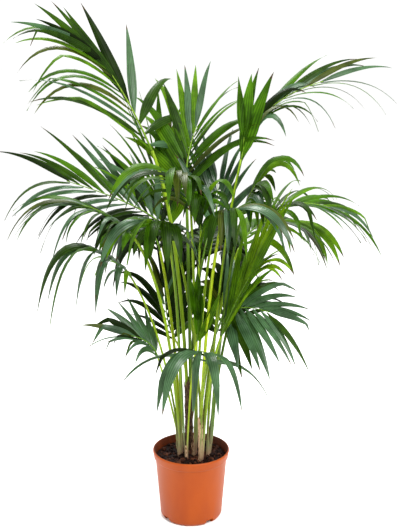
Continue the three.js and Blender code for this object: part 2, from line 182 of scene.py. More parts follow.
# The pot is injection-moulded polypropylene: an even, warm satin with soft edges
pot = {
    "height": 221, "rimRadius": 120, "lipHeight": 29, "lipStep": 5, "wallTopRadius": 112,
    "wallFootRadius": 97, "undersideRadius": 90, "footHeight": 10, "wall": 3, "floor": 17,
    "footRing": 12, "recess": 2.5, "turnSteps": 128, "sharpAngle": 40,
    # How far each point of the lip's round edge lies inside the rim and below the top
    "lipRound": [(1.2, 10), (0.3, 7), (0, 5), (0.3, 2.4), (1.2, 0.8), (3, 0), (4.8, 0.6), (6, 2)],
    "colour": "#9e4406", "shade": "#943c06", "roughness": 0.45,
    # The inner wall's painted shade: its colour, its darker cloud and its roughness
    "innerWallShadeColour": "#6e2e0c", "innerWallShade": "#2c1408", "innerWallShadeRoughness": 0.6,
    "cloud": 60, "cloudStretch": 0.35, "grain": 1.2, "grainHeight": 0.15,
}
notch = {
    "count": 4, "firstTurn": -53, "width": 27, "height": 15, "depth": 40, "reach": 60,
    "rounding": 3, "roundSteps": 4,
}
lipFoot = pot["height"] - pot["lipHeight"]


def innerRadius(height):
    share = clamp((height - pot["footHeight"]) / (lipFoot - pot["footHeight"]))
    return lerp(pot["wallFootRadius"], pot["wallTopRadius"], share) - pot["wall"]


# Moulding leaves faint clouds in the colour and a fine grain, which softens the shine
def pottedPlastic(name, shade, colour, roughness):
    material, tree = newMaterial(name)
    cloudy = addNode(
        tree, "TexNoise", {"Scale": 1 / (pot["cloud"] * mm), "Detail": 3.0},
        stretched(tree, (1, 1, pot["cloudStretch"])),
    )
    tint = colourSteps(tree, cloudy.outputs["Fac"], [(0.3, shade), (0.62, colour)])
    grain = addNode(
        tree, "TexNoise", {"Scale": 1 / (pot["grain"] * mm), "Detail": 2.0},
        stretched(tree, (1, 1, 1)),
    )
    relief = addNode(
        tree, "Bump", {"Strength": 0.12, "Distance": pot["grainHeight"] * mm},
        {"Height": grain.outputs["Fac"]},
    )
    shader = addNode(
        tree, "BsdfPrincipled", {"Roughness": roughness, "IOR": 1.49, "Specular IOR Level": 0.22},
        {"Base Color": tint.outputs["Color"], "Normal": relief.outputs["Normal"]},
    )
    addNode(tree, "OutputMaterial", links={"Surface": shader.outputs["BSDF"]})
    return material


# Out along the underside, up the wall, over the lip and down the inside; odd millimetres round the corners
def potProfile():
    top, foot, floor, ring = pot["height"], pot["footHeight"], pot["floor"], pot["footRing"]
    rim, wallTop, wallFoot = pot["rimRadius"], pot["wallTopRadius"], pot["wallFootRadius"]
    underside, lipWall = pot["undersideRadius"], wallTop + pot["lipStep"]
    return [
        (0, pot["recess"]), (underside - ring - 3, pot["recess"]), (underside - ring, 0), (underside - 1, 0),
        (underside + 0.5, 0.6), (wallFoot - 0.5, foot - 1.5), (wallFoot, foot),
        (lerp(wallFoot, wallTop, 0.5), lerp(foot, lipFoot, 0.5)), (wallTop, lipFoot - 1),
        (wallTop + 0.4, lipFoot), (lipWall - 1, lipFoot + 3.4), (lipWall, lipFoot + 5),
        *[(rim - inset, top - drop) for inset, drop in pot["lipRound"]],
        (innerRadius(lipFoot) + 3, lipFoot + 4), (innerRadius(lipFoot), lipFoot - 4),
        (innerRadius(foot + floor), foot + floor), (underside - 2, floor), (0, floor),
    ]


# Blocks with rounded edges reach in through the foot, one for each drain notch
def notchCutters():
    cutters = bmesh.new()
    reach = notch["reach"] * mm
    middle = (pot["wallFootRadius"] - notch["depth"] + notch["reach"] / 2) * mm
    for i in range(notch["count"]):
        block = bmesh.ops.create_cube(cutters, size=1)["verts"]
        bmesh.ops.scale(cutters, vec=(reach, notch["width"] * mm, notch["height"] * 2 * mm), verts=block)
        bmesh.ops.translate(cutters, vec=(middle, 0, 0), verts=block)
        turn = Matrix.Rotation(math.radians(notch["firstTurn"] + i * 360 / notch["count"]), 3, "Z")
        bmesh.ops.rotate(cutters, cent=(0, 0, 0), matrix=turn, verts=block)
    lengthwise = [edge for edge in cutters.edges if abs(edge.calc_length() - reach) < mm]
    bmesh.ops.bevel(
        cutters, geom=lengthwise, offset=notch["rounding"] * mm, segments=notch["roundSteps"], profile=0.5,
        affect="EDGES", material=-1,
    )
    mesh = bpy.data.meshes.new("notchCutters")
    cutters.to_mesh(mesh)
    cutters.free()
    return mesh


def cutNotches(piece):
    cutter = bpy.data.objects.new("notchCutters", notchCutters())
    scene.collection.objects.link(cutter)
    cut = piece.modifiers.new("notches", "BOOLEAN")
    cut.operation = "DIFFERENCE"
    cut.solver = "EXACT"
    cut.object = cutter
    whole = bpy.data.meshes.new_from_object(piece.evaluated_get(bpy.context.evaluated_depsgraph_get()))
    piece.modifiers.clear()
    piece.data = whole
    whole.set_sharp_from_angle(angle=math.radians(pot["sharpAngle"]))
    bpy.data.objects.remove(cutter)


def makePot():
    bm = bmesh.new()
    spinProfile(bm, potProfile(), pot["turnSteps"])
    clean = pottedPlastic("mouldedPolypropylene", pot["shade"], pot["colour"], pot["roughness"])
    # The inner wall above the floor takes a darker copy of the plastic: painted shade, for the shadow that
    # falls inside the pot
    innerWallShade = pottedPlastic("paintedShadeInnerPolypropylene", pot["innerWallShade"], pot["innerWallShadeColour"], pot["innerWallShadeRoughness"])
    for face in bm.faces:
        middle = face.calc_center_median()
        inward = face.normal.x * middle.x + face.normal.y * middle.y < 0
        face.material_index = int(inward and middle.z > (pot["floor"] + 1) * mm)
    cutNotches(makePiece("mouldedPot", bm, [clean, innerWallShade], ["pot"]))


makePot()
print("pot made")


# The soil is moist peat with bark: nearly black, rough, with crumbs lying on it
soil = {
    "top": 198, "settled": 1, "rings": 26, "turnSteps": 96, "gap": 0.4, "levelEdge": 12,
    "lump": 22, "lumpHeight": 5, "grit": 6, "gritHeight": 1.6,
    "crumbs": 620, "crumbSizes": (2.4, 11), "crumbKinds": [0, 0, 0, 1, 1, 2], "crumbEdge": 8, "seed": 4,
    "crumbSunk": 0.2, "crumbRough": 0.3, "crumbGrit": 3, "crumbLayers": (0, 40, 80), "crumbSharp": 50,
    "peat": "#0c0504", "moist": "#2a120a", "bark": "#48281a", "freshBark": "#5c3420", "pitHeight": 1.2,
    "peatGrain": 5, "crumbGrain": 3, "barkGrain": 4, "freshGrain": 6,
}


# Crumbly, damp fibre swallows the light: dark pits, lighter grains and hardly any shine
def peat(name, dark, light, size):
    material, tree = newMaterial(name)
    crumbly = addNode(
        tree, "TexNoise", {"Scale": 1 / (size * mm), "Detail": 6.0, "Roughness": 0.7},
        stretched(tree, (1, 1, 1)),
    )
    tint = colourSteps(tree, crumbly.outputs["Fac"], [(0.42, dark), (0.7, light)])
    relief = addNode(
        tree, "Bump", {"Strength": 0.8, "Distance": soil["pitHeight"] * mm},
        {"Height": crumbly.outputs["Fac"]},
    )
    shader = addNode(
        tree, "BsdfPrincipled", {"Roughness": 0.6, "Specular IOR Level": 0.1},
        {"Base Color": tint.outputs["Color"], "Normal": relief.outputs["Normal"]},
    )
    addNode(tree, "OutputMaterial", links={"Surface": shader.outputs["BSDF"]})
    return material


# Lumps and grit are two layers of one noise, and the surface is level where it meets the pot
def soilHeight(x, y):
    lumps = noise.noise(Vector((x, y, 3)) / (soil["lump"] * mm)) * soil["lumpHeight"]
    grit = noise.noise(Vector((x, y, 8)) / (soil["grit"] * mm)) * soil["gritHeight"]
    edge = smooth((innerRadius(soil["top"]) - math.hypot(x, y) / mm) / soil["levelEdge"])
    return (soil["top"] - soil["settled"] + (lumps + grit) * edge) * mm


def makeSoil():
    outer = innerRadius(pot["height"]) - soil["gap"]
    lowest = pot["floor"] + soil["gap"]
    floorEdge = pot["footHeight"] + pot["floor"]
    profile = [(outer * i / soil["rings"], soil["top"]) for i in range(soil["rings"] + 1)]
    profile += [
        (outer, lipFoot - 4), (innerRadius(floorEdge) - soil["gap"], floorEdge),
        (pot["undersideRadius"] - 2 - soil["gap"], lowest), (0, lowest),
    ]
    bm = bmesh.new()
    spinProfile(bm, profile, soil["turnSteps"])
    for vert in bm.verts:
        if vert.co.z > (soil["top"] - 0.5) * mm:
            vert.co.z = soilHeight(vert.co.x, vert.co.y)
    moist = peat("moistPeat", soil["peat"], soil["moist"], soil["peatGrain"])
    makePiece("pottingSoil", bm, [moist], ["soil"])


# Crumbs are dealt over the soil, each a flattened ball made lumpy by three layers of noise
def makeCrumbs():
    deal = random.Random(soil["seed"])
    bm = bmesh.new()
    for _ in range(soil["crumbs"]):
        reach = math.sqrt(deal.random()) * (innerRadius(soil["top"]) - soil["crumbEdge"]) * mm
        turn = deal.random() * 2 * math.pi
        x, y = reach * math.cos(turn), reach * math.sin(turn)
        size = lerp(*soil["crumbSizes"], deal.random() ** 2) * mm
        lie = Matrix.Translation((x, y, soilHeight(x, y) + size * soil["crumbSunk"]))
        lie @= Matrix.Rotation(deal.random() * 6, 4, "Z") @ Matrix.Rotation(deal.random() * 6, 4, "X")
        shape = Matrix.Diagonal((1, deal.uniform(0.5, 0.9), deal.uniform(0.35, 0.8), 1))
        crumb = bmesh.ops.create_icosphere(bm, subdivisions=1, radius=size, matrix=lie @ shape)["verts"]
        for vert in crumb:
            here = vert.co / (soil["crumbGrit"] * mm)
            push = [noise.noise(here + up * layer) for layer in soil["crumbLayers"]]
            vert.co += Vector(push) * size * soil["crumbRough"]
        paint(crumb, deal.choice(soil["crumbKinds"]))
    kinds = [
        peat("crumbledPeat", soil["peat"], soil["moist"], soil["crumbGrain"]),
        peat("compostedBark", soil["moist"], soil["bark"], soil["barkGrain"]),
        peat("freshBark", soil["bark"], soil["freshBark"], soil["freshGrain"]),
    ]
    makePiece("soilCrumbs", bm, kinds, ["soil"], sharpAngle=soil["crumbSharp"])


makeSoil()
makeCrumbs()
print("soil made")


# Where each stem stands, and how tall it is above the soil, as in the solids
stems = {
    "left": {"place": (-38, -6), "tall": 95},
    "thin": {"place": (-16, -32), "tall": 45, "topRadius": 10},
    "middle": {"place": (10, 2), "tall": 75},
    "front": {"place": (34, -46), "tall": 120},
    "right": {"place": (60, -4), "tall": 100},
    "back_right": {"place": (36, 46), "tall": 160},
    "back": {"place": (-8, 48), "tall": 240, "footRadius": 17, "topRadius": 13.5},
}
stem = {"topRadius": 12.5, "lean": 0.1, "clearance": 0.3}
stalk = {"ring": 8.4, "thinRing": 4.8, "footRadius": 4.2, "kneeRadius": 3.5}

# A frond's stalk starts at a turn round its stem's top and ends at the knee, and its rib runs from there
# to the tip. Three values in a row are for knee, middle and tip, and left and right say what differs on
# that side. The looks are the scene's own: tone from dark to bright, partly the leaflets' own and partly
# painted light and shade, the shares of bluish leaflets with painted sheen and of olive leaflets, how
# slim, short and folded they are, and how stout the stalk is.
usual = {
    "bow": 0.35, "arch": 0.5, "pairs": 8, "leaf": (220, 260, 210), "width": 30, "spread": (50, 33, 16),
    "tilt": (20, 38), "roll": 0, "lift": 0, "droop": 0.6, "left": {}, "right": {},
    "tone": 0.4, "bluish": 0.08, "olive": 0.06, "slim": 0.86, "short": 1, "fold": 13, "stout": 1,
}


def frondRow(name, stemName, turn, knee, tip, seed, **own):
    row = {"name": name, "stem": stemName, "turn": turn, "knee": knee, "tip": tip, "seed": seed}
    return {**usual, **row, **own}


# The fronds' table, as the solids have it
fronds = [
    frondRow("upper_left", "back", 220, (-115, 60, 1147), (-273, 30, 1436), 3,
        bow=0.5, arch=0.55, roll=54, lift=-6,
        tone=0.37, bluish=0.15, slim=0.72, stout=1.35,
        left=dict(pairs=10, leaf=(370, 350, 290), width=(26, 28, 26), spread=(30, 27, 18),
            droop=(0.4, 0.75, 0.5), tone=0.52),
        right=dict(pairs=9, leaf=(280, 320, 280), width=(48, 46, 34), spread=(118, -3, -32),
            droop=(0.6, 0.05, 0.2), tone=0.34, slim=0.66, short=0.96)),
    frondRow("upper_right", "right", 146, (155, 30, 1145), (388, 60, 1350), 5,
        roll=-24, lift=-4,
        tone=0.33, bluish=0.4, olive=0.05, slim=0.76,
        left=dict(pairs=6, leaf=(220, 280, 270), width=(42, 30, 22), spread=(-12, 16, 17),
            droop=(0.8, 0.3, 0.3)),
        right=dict(pairs=7, leaf=(250, 220, 250), width=(36, 24, 22), spread=(8, 26, 14),
            droop=(0.6, 1.0, 0.6))),
    frondRow("young_right", "right", 218, (147, -10, 1131), (155, -15, 1196), 6,
        pairs=2, leaf=(250, 220, 170), width=50, spread=(2, 2, 2), tilt=(20, 20), roll=80, droop=0.2,
        tone=0.45, stout=0.7),
    frondRow("top_middle", "back", 310, (-14, 70, 1030), (18, 130, 1215), 7,
        lift=8,
        tone=0.66, stout=1.2,
        left=dict(pairs=8, leaf=(250, 300, 260), width=(46, 40, 28), spread=(40, 26, 10), droop=0.25),
        right=dict(pairs=9, leaf=(320, 240, 200), width=(30, 28, 24), spread=(54, 34, 14),
            droop=(0.45, 0.35, 0.3))),
    frondRow("long_left", "left", 340, (-83, 20, 924), (-360, -20, 1068), 11,
        bow=0.8, arch=0.25, pairs=10, roll=50, lift=-6,
        tone=0.26, bluish=0.5, slim=0.72,
        left=dict(leaf=(180, 240, 245), width=(26, 30, 36), spread=(40, 28, 14), droop=(0.8, 0.7, 0.8)),
        right=dict(leaf=(240, 320, 220), width=(34, 28, 22), spread=(60, 31, 18), droop=(0.3, 0.05, 0.3))),
    frondRow("arched_left", "left", 268, (-170, -60, 916), (-305, -110, 1012), 13,
        bow=0.55, pairs=7, leaf=(160, 250, 270), width=26, spread=(50, 32, 14), droop=0.9,
        tone=0.3, bluish=0.35, slim=0.8, stout=1.1),
    frondRow("drooping_left", "left", 124, (-178, -20, 780), (-264, -50, 868), 17,
        pairs=5, roll=-10, lift=-6,
        tone=0.52, bluish=0.5, stout=0.8,
        left=dict(leaf=(140, 240, 380), width=(26, 34, 44), spread=(44, 36, 26), droop=(1.6, 2.8, 2.7)),
        right=dict(leaf=(130, 190, 340), width=(24, 30, 44), spread=(44, 26, 8), droop=(1.6, 1.8, 1.9))),
    frondRow("front_left", "middle", 0, (2, -60, 980), (-54, -180, 1118), 19,
        arch=0.45, pairs=7, width=(34, 40, 40), spread=(50, 35, 20),
        tone=0.56, olive=0.2,
        left=dict(leaf=(160, 220, 200), droop=1.2),
        right=dict(leaf=(150, 240, 260), droop=1.0)),
    frondRow("young_front", "middle", 290, (30, -95, 935), (38, -130, 1035), 21,
        arch=0.45, pairs=3, leaf=(190, 190, 170), width=46, spread=(20, 16, 12), droop=1.6,
        tone=0.6, stout=0.8),
    frondRow("arched_right", "right", 2, (154, -20, 974), (186, -50, 1058), 23,
        pairs=6, roll=-35,
        tone=0.5, bluish=0.2, olive=0.04,
        left=dict(leaf=(190, 210, 250), width=(48, 46, 28), spread=(56, 36, 6), droop=(0.6, 0.9, 1.3)),
        right=dict(leaf=(150, 190, 200), width=(44, 42, 36), spread=(50, 36, 20), droop=(1.4, 1.2, 1.2))),
    frondRow("long_right", "right", 74, (214, 30, 929), (411, 0, 988), 29,
        pairs=9, width=(32, 30, 22),
        tone=0.5,
        left=dict(leaf=(250, 250, 200), width=(26, 26, 22), spread=(44, 34, 16), lift=18,
            droop=(0.6, 0.7, 0.9)),
        right=dict(leaf=(190, 270, 220), width=(36, 36, 24), spread=(54, 42, 20), droop=(0.9, 0.6, 0.8))),
    frondRow("bright_right", "front", 0, (92, -62, 610), (168, -115, 800), 31,
        pairs=7, width=(46, 44, 34), roll=-40, lift=6,
        tone=0.86, bluish=0, olive=0, slim=0.74, fold=26,
        left=dict(leaf=(300, 320, 300), spread=(26, 18, 8), droop=0.15),
        right=dict(leaf=(260, 260, 240), spread=(20, 20, 14), droop=(0.2, 0.3, 0.5))),
    frondRow("lower_right", "right", 290, (100, -25, 638), (230, -100, 694), 37,
        pairs=7, roll=-50,
        tone=0.52, bluish=0.7, stout=0.75,
        left=dict(leaf=(240, 200, 160), width=(28, 28, 26), spread=(46, 30, 10), droop=0.3),
        right=dict(leaf=(190, 240, 200), width=(46, 38, 30), spread=(112, 58, 18), droop=(0.4, 0.35, 0.4))),
    frondRow("lower_left", "left", 196, (-102, -20, 532), (-178, -50, 606), 41,
        bow=0.1, pairs=6, roll=35, lift=2,
        tone=0.34, bluish=0.75, stout=0.75,
        left=dict(leaf=(150, 130, 140), width=30, spread=(34, 18, 8), droop=(1.0, 0.5, 0.4)),
        right=dict(leaf=(130, 175, 170), width=(40, 32, 28), spread=(50, 28, 6), droop=0.2)),
    frondRow("lower_front", "front", 250, (46, -100, 538), (25, -170, 599), 43,
        pairs=4, width=(38, 42, 40), lift=-4,
        tone=0.3, bluish=0.95, olive=0, stout=0.85,
        left=dict(leaf=(290, 290, 250), spread=(56, 40, 22), droop=(1.6, 1.9, 2.4)),
        right=dict(leaf=(280, 240, 240), spread=(84, 38, 14), droop=(1.05, 1.8, 2.6))),
    frondRow("upright_middle", "middle", 80, (70, 40, 920), (82, 80, 1048), 47,
        pairs=5, width=46, tilt=(35, 50), lift=8, droop=0.25,
        tone=0.08, bluish=0.5,
        left=dict(leaf=(270, 250, 190), spread=(34, 24, 14)),
        right=dict(leaf=(220, 220, 190), spread=(34, 22, 10))),
    frondRow("young_low", "thin", 0, (19, -50, 590), (22, -56, 661), 53,
        pairs=2, leaf=(170, 160, 140), width=56, spread=(8, 7, 6), tilt=(10, 10), roll=20, droop=0.1,
        tone=0.74, bluish=0, olive=0, fold=46, stout=0.7),
    frondRow("hanging_right", "front", 120, (87, -90, 946), (130, -160, 1012), 57,
        pairs=6, width=(40, 40, 34),
        tone=0.6, bluish=0.25, olive=0.15, stout=1.15,
        left=dict(leaf=(210, 240, 240), spread=(50, 34, 14), droop=(1.1, 1.3, 1.6)),
        right=dict(leaf=(150, 200, 230), spread=(66, 42, 18), droop=(1.5, 1.6, 2.0))),
    frondRow("hanging_left", "thin", 180, (-58, -60, 900), (-128, -140, 975), 62,
        pairs=6, leaf=(190, 230, 200), width=(46, 46, 38), spread=(62, 38, 16), droop=(1.5, 1.7, 2.0),
        tone=0.56, bluish=0.3, stout=0.62),
    frondRow("back_left", "left", 52, (-96, 100, 832), (-210, 260, 905), 61,
        leaf=(240, 270, 220), width=40, lift=2, droop=2.2,
        tone=0.2, stout=1.1),
    frondRow("back_right", "back_right", 0, (150, 110, 840), (330, 230, 905), 67,
        leaf=(230, 280, 240), width=36, lift=2, droop=1.2,
        tone=0.56),
    frondRow("back_middle", "back", 40, (37, 140, 800), (70, 280, 880), 71,
        pairs=10, leaf=(290, 310, 240), width=48, lift=2, droop=3.4,
        tone=0.15),
    frondRow("back_low_right", "back_right", 90, (80, 120, 560), (130, 200, 710), 79,
        pairs=7, width=44, lift=2, droop=0.6,
        tone=0.15, stout=0.8,
        left=dict(leaf=(220, 240, 210), spread=(70, 42, 18)),
        right=dict(leaf=(200, 240, 210), spread=(46, 30, 14))),
    frondRow("back_low_left", "back", 130, (-52, 120, 540), (-84, 180, 700), 83,
        pairs=6, leaf=(160, 210, 240), width=46, lift=2, droop=0.4,
        tone=0.15, stout=0.8,
        left=dict(spread=(40, 22, 8)),
        right=dict(leaf=(190, 220, 240), spread=(64, 34, 8))),
    frondRow("back_upper", "back_right", 210, (-60, 110, 905), (-96, 150, 1060), 89,
        pairs=7, leaf=(290, 310, 260), width=(46, 44, 34), lift=4, droop=0.2,
        tone=0.7,
        left=dict(spread=(40, 24, 8)),
        right=dict(spread=(46, 26, 8))),
]


# A repeatable number from 0 to 1 for a few whole numbers, as in the source
def chance(*keys):
    total = 4.137 + sum(key * (12.9898 + 65.233 * i) for i, key in enumerate(keys))
    value = math.sin(total) * 43758.5453
    return value - math.floor(value)


def topRadius(name):
    return stems[name].get("topRadius", stem["topRadius"])


# The stalk's curve and the rib's, each from three points
def arcs(frond):
    place = stems[frond["stem"]]
    ring = stalk["thinRing"] if topRadius(frond["stem"]) < stem["topRadius"] else stalk["ring"]
    turn = math.radians(frond["turn"])
    x, y = place["place"]
    stemTop = soil["top"] + place["tall"] + stem["clearance"]
    foot = Vector((x + ring * math.cos(turn), y + ring * math.sin(turn), stemTop))
    knee, tip = Vector(frond["knee"]), Vector(frond["tip"])
    rise = knee - foot
    out = 0.5 - frond["bow"] / 2
    lower = foot + Vector((rise.x * out, rise.y * out, rise.z * (1 - out)))
    leaving = (knee - lower).normalized()
    middle = knee + leaving * ((knee - tip).length * frond["arch"])
    return (foot, lower, knee), (knee, middle, tip)


def curvePoint(curve, share):
    start, middle, end = curve
    return start.lerp(middle, share).lerp(middle.lerp(end, share), share)


def curveTangent(curve, share):
    start, middle, end = curve
    return (middle - start).lerp(end - middle, share).normalized()


# The two directions across a curve: one level, the other above it
def across(curve, share):
    tangent = curveTangent(curve, share)
    heading = curve[2] - curve[0]
    side = Vector((heading.y, -heading.x, 0)).normalized()
    side = (side - tangent * side.dot(tangent)).normalized()
    return tangent, side, side.cross(tangent)


def rolledAcross(frond, curve, share):
    tangent, side, above = across(curve, share)
    roll = math.radians(frond["roll"])
    rolledSide = side * math.cos(roll) + above * math.sin(roll)
    return tangent, rolledSide, above * math.cos(roll) - side * math.sin(roll)


# A value for the whole rib, or one each for its knee, middle and tip
def along(values, share):
    if not isinstance(values, tuple):
        return values
    atKnee, atMiddle, atTip = values
    return lerp(atKnee, atMiddle, share * 2) if share < 0.5 else lerp(atMiddle, atTip, share * 2 - 1)


# Leaflets are flat, leathery blades: satin above, glowing yellow-green where light comes through
leaflet = {
    "rows": 12, "columns": 4, "finer": 1.25, "fewPairs": 4, "firstAt": 0.03, "span": 0.95, "stagger": 0.3,
    "offset": 1.5, "widestAt": 0.34, "rootWidth": 0.34, "taper": 1.5, "narrowest": 0.6, "fullWidthFrom": 260,
    # How far leaflets of a frond differ: in degrees, and in shares of their size
    "spreadVaries": 5, "liftVaries": 7, "tiltVaries": 6, "twist": 16,
    "lengthVaries": 0.1, "widthVaries": 0.12, "sagVaries": 0.4,
    "sag": 2.2, "sagPower": 1.7, "foldAtRoot": 50, "foldOpensBy": 0.2, "wave": 2.2, "waves": 3.1,
    # Some are bent sharply down, but none that stands upright
    "bentShare": 0.2, "bend": 1.6, "bendFrom": 0.5, "bendWithin": 0.25, "bendLength": 0.12,
    "bendBelow": 0.45, "bendFades": 0.3,
    "dryShare": 0.4, "dryRows": 1, "bladeWidth": 32, "veinSpacing": 6.7, "veinHeight": 0.5, "cloud": 50,
    # Deep inside the plant and low down they are darkened: painted shade
    "toneVaries": 0.44, "shadedReach": 230, "shadedBelow": 1280, "shadedFades": 200, "shadedBy": 0.24,
}
# The first five kinds step from dark to bright: partly the leaflets' own tone, partly painted shade for
# fronds at the back and deep inside, and painted light for fronds the light shines through
# Each leaf's name, its blade's and its glow's colour, how much it glows, its roughness and its shine
leafKinds = [
    ("shadedKentiaLeaf", "#162408", "#305208", 0.15, 0.4, 0.06),
    ("matureKentiaLeaf", "#2a460c", "#4a7208", 0.22, 0.38, 0.1),
    ("midKentiaLeaf", "#3a600a", "#629e0a", 0.3, 0.4, 0.11),
    ("freshAndBacklitKentiaLeaf", "#4c760a", "#82b40c", 0.35, 0.42, 0.12),
    ("youngAndBacklitKentiaLeaf", "#5e880e", "#9cc61a", 0.37, 0.42, 0.12),
    # Grey-blue blade: partly the leaf's own colour and partly painted sheen from the sky, besides its real
    # stronger shine
    ("bluishSheenKentiaLeaf", "#436443", "#527c34", 0.18, 0.34, 0.36),
    ("oliveKentiaLeaf", "#424e12", "#66760e", 0.22, 0.4, 0.16),
    ("dryKentiaTip", "#4a3c1e", "#6a5628", 0.2, 0.6, 0.15),
]
kindPlaces = {kind[0]: place for place, kind in enumerate(leafKinds)}
tones = 5  # the first kinds run from dark to bright, and the others are dealt out among them


def kentiaLeaf(name, bladeColour, glowColour, glowing, rough, shine):
    material, tree = newMaterial(name)
    place = addNode(tree, "TexCoord")
    # Veins run lengthwise, drawn some 7 mm apart, coarser than the real ones, so that they show.
    # A wave texture's bands lie a tenth of pi apart at a scale of 1, and the blade is 1 wide on its UV map.
    veins = addNode(
        tree, "TexWave",
        {
            "Scale": math.pi / 10 * leaflet["bladeWidth"] / leaflet["veinSpacing"], "Distortion": 0.6,
            "Detail": 1.0, "bands_direction": "X",
        },
        {"Vector": place.outputs["UV"]},
    )
    cloudy = addNode(
        tree, "TexNoise", {"Scale": 1 / (leaflet["cloud"] * mm), "Detail": 3.0},
        {"Vector": place.outputs["Object"]},
    )
    striped = colourSteps(tree, veins.outputs["Fac"], [(0.0, "#bcbcb4"), (0.7, "#ffffff")])
    patchy = colourSteps(tree, cloudy.outputs["Fac"], [(0.36, "#b8beb4"), (0.64, "#ffffff")])
    shade = addNode(
        tree, "Mix", {"data_type": "RGBA", "blend_type": "MULTIPLY", 0: 1.0},
        {6: striped.outputs["Color"], 7: patchy.outputs["Color"]},
    )

    def shaded(code):
        mixed = addNode(
            tree, "Mix", {"data_type": "RGBA", "blend_type": "MULTIPLY", 0: 1.0, 6: fromHex(code)},
            {7: shade.outputs[2]},
        )
        return mixed.outputs[2]

    relief = addNode(
        tree, "Bump", {"Strength": 0.35, "Distance": leaflet["veinHeight"] * mm},
        {"Height": veins.outputs["Fac"]},
    )
    blade = addNode(
        tree, "BsdfPrincipled",
        {"Roughness": rough, "IOR": 1.45, "Specular IOR Level": shine},
        {"Base Color": shaded(bladeColour), "Normal": relief.outputs["Normal"]},
    )
    glow = addNode(tree, "BsdfTranslucent", links={"Color": shaded(glowColour)})
    shader = addNode(
        tree, "MixShader", {"Fac": glowing},
        {1: blade.outputs["BSDF"], 2: glow.outputs["BSDF"]},
    )
    addNode(tree, "OutputMaterial", links={"Surface": shader.outputs["Shader"]})
    return material


# A leaflet swells from its root to its widest place and tapers to its tip
def widthShare(share):
    widest, root = leaflet["widestAt"], leaflet["rootWidth"]
    swell = root + (1 - root) * math.sin(math.pi / 2 * min(share / widest, 1))
    return swell * (1 - max((share - widest) / (1 - widest), 0) ** leaflet["taper"])


# What the source's rule and the frond's looks give one leaflet
def leafletShape(frond, directions, share, pair, hand):
    tangent, side, above = directions

    def vary(key):
        return 2 * chance(frond["seed"], pair + 1, hand + 2, key) - 1

    spread = math.radians(along(frond["spread"], share) + leaflet["spreadVaries"] * vary(1))
    lift = math.radians(along(frond["lift"], share) + leaflet["liftVaries"] * vary(2))
    start = (
        tangent * math.cos(spread)
        + side * (hand * math.sin(spread) * math.cos(lift))
        + above * (math.sin(spread) * math.sin(lift))
    )
    length = along(frond["leaf"], share) * (1 + leaflet["lengthVaries"] * vary(3)) * frond["short"]
    width = along(frond["width"], share) * (1 + leaflet["widthVaries"] * vary(5))
    width *= min(1, leaflet["narrowest"] + (1 - leaflet["narrowest"]) * length / leaflet["fullWidthFrom"])
    bent = chance(frond["seed"], pair + 7, hand + 4, 8) < leaflet["bentShare"]
    bendable = 1 - smooth((start.z - leaflet["bendBelow"]) / leaflet["bendFades"])
    further = chance(frond["seed"], pair + 2, hand + 6, 11)
    return {
        "start": start, "length": length, "width": width * frond["slim"],
        "sag": along(frond["droop"], share) * (1 + leaflet["sagVaries"] * vary(4)) * leaflet["sag"],
        "bend": leaflet["bend"] * bendable if bent else 0,
        "bendAt": leaflet["bendFrom"] + leaflet["bendWithin"] * further,
        "tilt": lerp(*frond["tilt"], share) + leaflet["tiltVaries"] * vary(6),
        "twist": leaflet["twist"] * vary(7),
    }


# One leaflet is a grid laid along a sagging line, folded down on both sides of its midrib
def growLeaflet(bm, frond, curve, pairs, pair, hand):
    last = pairs - 1
    stagger = leaflet["stagger"] if hand > 0 and pair < last else 0
    share = leaflet["firstAt"] + leaflet["span"] * (pair + stagger) / last
    directions = rolledAcross(frond, curve, share)
    shape = leafletShape(frond, directions, share, pair, hand)
    flat = shape["start"].cross(directions[2]).normalized()
    at = curvePoint(curve, share) + directions[1] * (hand * leaflet["offset"])
    rows, columns = leaflet["rows"], leaflet["columns"]
    grid = bmesh.ops.create_grid(bm, x_segments=columns, y_segments=rows, size=1, calc_uvs=True)["verts"]
    for row in range(rows + 1):
        reach = row / rows
        fall = shape["sag"] * min((row + 0.5) / rows, 1) ** leaflet["sagPower"]
        fall += shape["bend"] * smooth((reach - shape["bendAt"]) / leaflet["bendLength"])
        direction = (shape["start"] - up * fall).normalized()
        flat = (flat - direction * direction.dot(flat)).normalized()
        square = flat.cross(direction).normalized()
        turn = math.radians(hand * (shape["tilt"] + shape["twist"] * reach))
        edge = flat * math.cos(turn) + square * math.sin(turn)
        face = edge.cross(direction).normalized()
        half = widthShare(reach) * shape["width"] / 2
        opened = smooth(reach / leaflet["foldOpensBy"])
        fold = math.radians(lerp(leaflet["foldAtRoot"], frond["fold"], opened))
        ripple = noise.noise(Vector((reach * leaflet["waves"], frond["seed"], pair + hand * 0.5)))
        for column in range(columns + 1):
            away = 2 * column / columns - 1
            spot = at + edge * (away * half * math.cos(fold)) - face * (abs(away) * half * math.sin(fold))
            spot += face * (ripple * leaflet["wave"] * reach * away)
            grid[row * (columns + 1) + column].co = spot * mm
        at = at + direction * (shape["length"] / rows)
    return grid


